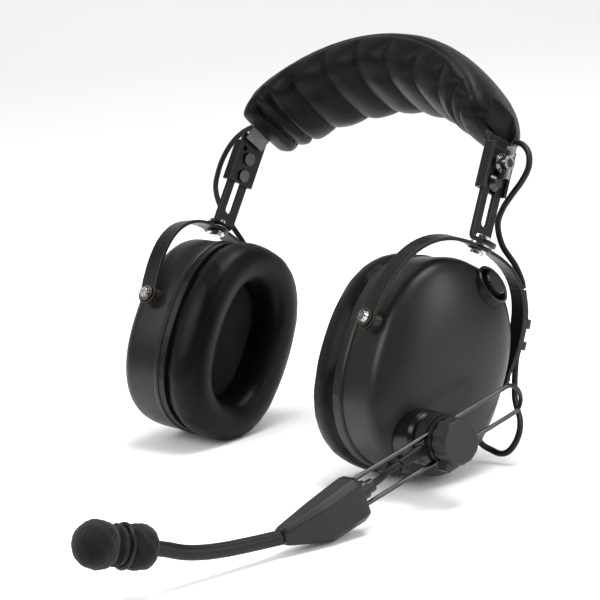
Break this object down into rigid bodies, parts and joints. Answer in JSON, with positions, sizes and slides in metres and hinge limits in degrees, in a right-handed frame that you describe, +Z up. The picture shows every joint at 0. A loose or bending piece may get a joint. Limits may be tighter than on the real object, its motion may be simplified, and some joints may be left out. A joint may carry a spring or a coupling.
{
  "type": "headset microphone",
  "caption": "Over-ear communications headset standing on its ear cups, with a padded spring headband, adjustable arms, swivelling stirrups and a wire boom microphone.",
  "frame": {"origin": "on the table, under the middle of the headset's bounding box without its free cables", "axes": "+Z up from the table, -Y towards the wearer's front where the microphone points, +X towards the microphone side"},
  "size_m": [0.243, 0.3092, 0.196],
  "materials": {
    "pad_leatherette": "smooth leatherette over foam",
    "seal_leatherette": "satin leatherette over gel and foam",
    "shell_plastic": "satin moulded plastic, dark grey",
    "black_plastic": "moulded black plastic",
    "strap_paint": "satin black paint on aluminium",
    "spring_steel": "bare spring steel",
    "bright_chrome": "bright plated",
    "brass_washer": "plain",
    "cable_rubber": "matte cable jacket",
    "black_cloth": "thin open cloth",
    "speaker_steel": "black basket",
    "magnet_steel": "plated",
    "open_foam": "open cell foam",
    "pot_steel": "bright metal can",
    "knob_plastic": "ribbed black plastic",
    "board_laminate": "green laminate",
    "swivel_plastic": "glossy black plastic",
    "grey_plastic": "fluted grey plastic",
    "wire_steel": "polished spring wire",
    "block_plastic": "dark grey moulded plastic",
    "neck_rubber": "black sleeve",
    "mic_metal": "black painted steel case",
    "windscreen_foam": "fine open foam"
  },
  "bodies": {
    "headband": {"head_pad": "pad_leatherette", "headband_spring": "spring_steel", "crossover_cable_band": "cable_rubber"},
    "band_end_near": {"band_bracket_near": "strap_paint", "clamp_studs_near": "bright_chrome"},
    "thumb_nut_near": {"thumb_nut_near": "bright_chrome"},
    "arm_near": {"arm_near": "strap_paint", "swivel_rivet_near": "bright_chrome", "crossover_cable_upper_near": "cable_rubber"},
    "stirrup_near": {"stirrup_near": "strap_paint", "cable_clips_near": "black_plastic"},
    "cup_near": {"cup_shell_near": "shell_plastic", "baffle_plate_near": "black_plastic", "ear_seal_near": "seal_leatherette", "ear_cloth_near": "black_cloth", "speaker_frame_near": "speaker_steel", "speaker_magnet_near": "magnet_steel", "acoustic_foam_near": "open_foam", "cable_gland_near": "cable_rubber", "pivot_screws_near": "bright_chrome", "pivot_washers_near": "brass_washer", "crossover_cable_lower_near": "cable_rubber", "volume_bezel": "black_plastic", "volume_pot": "pot_steel", "amplifier_board": "board_laminate", "lead_gland": "cable_rubber", "boom_base": "swivel_plastic"},
    "band_end_far": {"band_bracket_far": "strap_paint", "clamp_studs_far": "bright_chrome"},
    "thumb_nut_far": {"thumb_nut_far": "bright_chrome"},
    "arm_far": {"arm_far": "strap_paint", "swivel_rivet_far": "bright_chrome", "crossover_cable_upper_far": "cable_rubber"},
    "stirrup_far": {"stirrup_far": "strap_paint", "cable_clips_far": "black_plastic"},
    "cup_far": {"cup_shell_far": "shell_plastic", "baffle_plate_far": "black_plastic", "ear_seal_far": "seal_leatherette", "ear_cloth_far": "black_cloth", "speaker_frame_far": "speaker_steel", "speaker_magnet_far": "magnet_steel", "acoustic_foam_far": "open_foam", "cable_gland_far": "cable_rubber", "pivot_screws_far": "bright_chrome", "pivot_washers_far": "brass_washer", "crossover_cable_lower_far": "cable_rubber"},
    "volume_knob": {"volume_knob": "knob_plastic"},
    "boom_swivel": {"swivel_bolt": "magnet_steel", "clamp_inner": "black_plastic", "clamp_outer": "black_plastic", "mic_cable_boot": "cable_rubber"},
    "clamp_knob": {"clamp_knob": "grey_plastic"},
    "boom": {"boom_wire": "wire_steel", "boom_block": "block_plastic", "gooseneck": "neck_rubber", "mic_cable": "cable_rubber"},
    "microphone": {"mic_housing": "mic_metal", "mic_capsule": "magnet_steel", "windscreen": "windscreen_foam", "windscreen_band": "neck_rubber"}
  },
  "joints": [
    {"name": "band_flex_near", "type": "hinge", "parent": "headband", "child": "band_end_near", "pos_m": [0.0681, 0.10619, 0.14438], "axis": [0, -0.8746, 0.4848], "range_deg": [0, 9], "stiffness_Nm_per_rad": 6},
    {"name": "arm_slide_near", "type": "slide", "parent": "band_end_near", "child": "arm_near", "axis": [-0.0523, 0.4841, 0.8734], "range_m": [-0.0015, 0.015], "deforming": ["crossover_cable_upper_near"]},
    {"name": "thumb_nut_turn_near", "type": "hinge", "parent": "band_end_near", "child": "thumb_nut_near", "pos_m": [0.07961, 0.1015, 0.13592], "axis": [0.9986, 0.0254, 0.0458], "continuous": true},
    {"name": "stirrup_swivel_near", "type": "hinge", "parent": "arm_near", "child": "stirrup_near", "pos_m": [0.07997, 0.08064, 0.10138], "axis": [-0.165, -0.4782, -0.8626], "range_deg": [-12, 12]},
    {"name": "cup_tilt_near", "type": "hinge", "parent": "stirrup_near", "child": "cup_near", "pos_m": [0.0716, 0.0564, 0.05765], "axis": [0.1373, 0.855, -0.5002], "range_deg": [-7, 7], "deforming": ["crossover_cable_lower_near"]},
    {"name": "band_flex_far", "type": "hinge", "parent": "headband", "child": "band_end_far", "pos_m": [-0.0929, 0.10619, 0.14438], "axis": [0, 0.8746, -0.4848], "range_deg": [0, 9], "stiffness_Nm_per_rad": 6},
    {"name": "arm_slide_far", "type": "slide", "parent": "band_end_far", "child": "arm_far", "axis": [0.0523, 0.4841, 0.8734], "range_m": [-0.0015, 0.015], "deforming": ["crossover_cable_upper_far"]},
    {"name": "thumb_nut_turn_far", "type": "hinge", "parent": "band_end_far", "child": "thumb_nut_far", "pos_m": [-0.10441, 0.1015, 0.13592], "axis": [-0.9986, 0.0254, 0.0458], "continuous": true},
    {"name": "stirrup_swivel_far", "type": "hinge", "parent": "arm_far", "child": "stirrup_far", "pos_m": [-0.10477, 0.08064, 0.10138], "axis": [-0.165, 0.4782, 0.8626], "range_deg": [-12, 12]},
    {"name": "cup_tilt_far", "type": "hinge", "parent": "stirrup_far", "child": "cup_far", "pos_m": [-0.0964, 0.0564, 0.05765], "axis": [0.1373, -0.855, 0.5002], "range_deg": [-7, 7], "deforming": ["crossover_cable_lower_far"]},
    {"name": "volume_turn", "type": "hinge", "parent": "cup_near", "child": "volume_knob", "pos_m": [0.08584, 0.08039, 0.08356], "axis": [0.8233, 0.2572, 0.506], "range_deg": [0, 270]},
    {"name": "boom_swing", "type": "hinge", "parent": "cup_near", "child": "boom_swivel", "pos_m": [0.10015, 0.02478, 0.02743], "axis": [-0.9905, 0.1193, -0.0679], "range_deg": [-35, 170]},
    {"name": "clamp_knob_turn", "type": "hinge", "parent": "boom_swivel", "child": "clamp_knob", "pos_m": [0.11006, 0.02359, 0.02811], "axis": [0.9905, -0.1193, 0.0679], "continuous": true},
    {"name": "boom_slide", "type": "slide", "parent": "boom_swivel", "child": "boom", "axis": [-0.1007, -0.9676, -0.2314], "range_m": [-0.01, 0.025], "deforming": ["mic_cable"]},
    {"name": "gooseneck_bend", "type": "hinge", "parent": "boom", "child": "microphone", "pos_m": [0.09086, -0.09191, 0.00948], "axis": [0.0933, 0.2224, -0.9705], "range_deg": [-10, 35], "deforming": ["gooseneck"]}
  ]
}
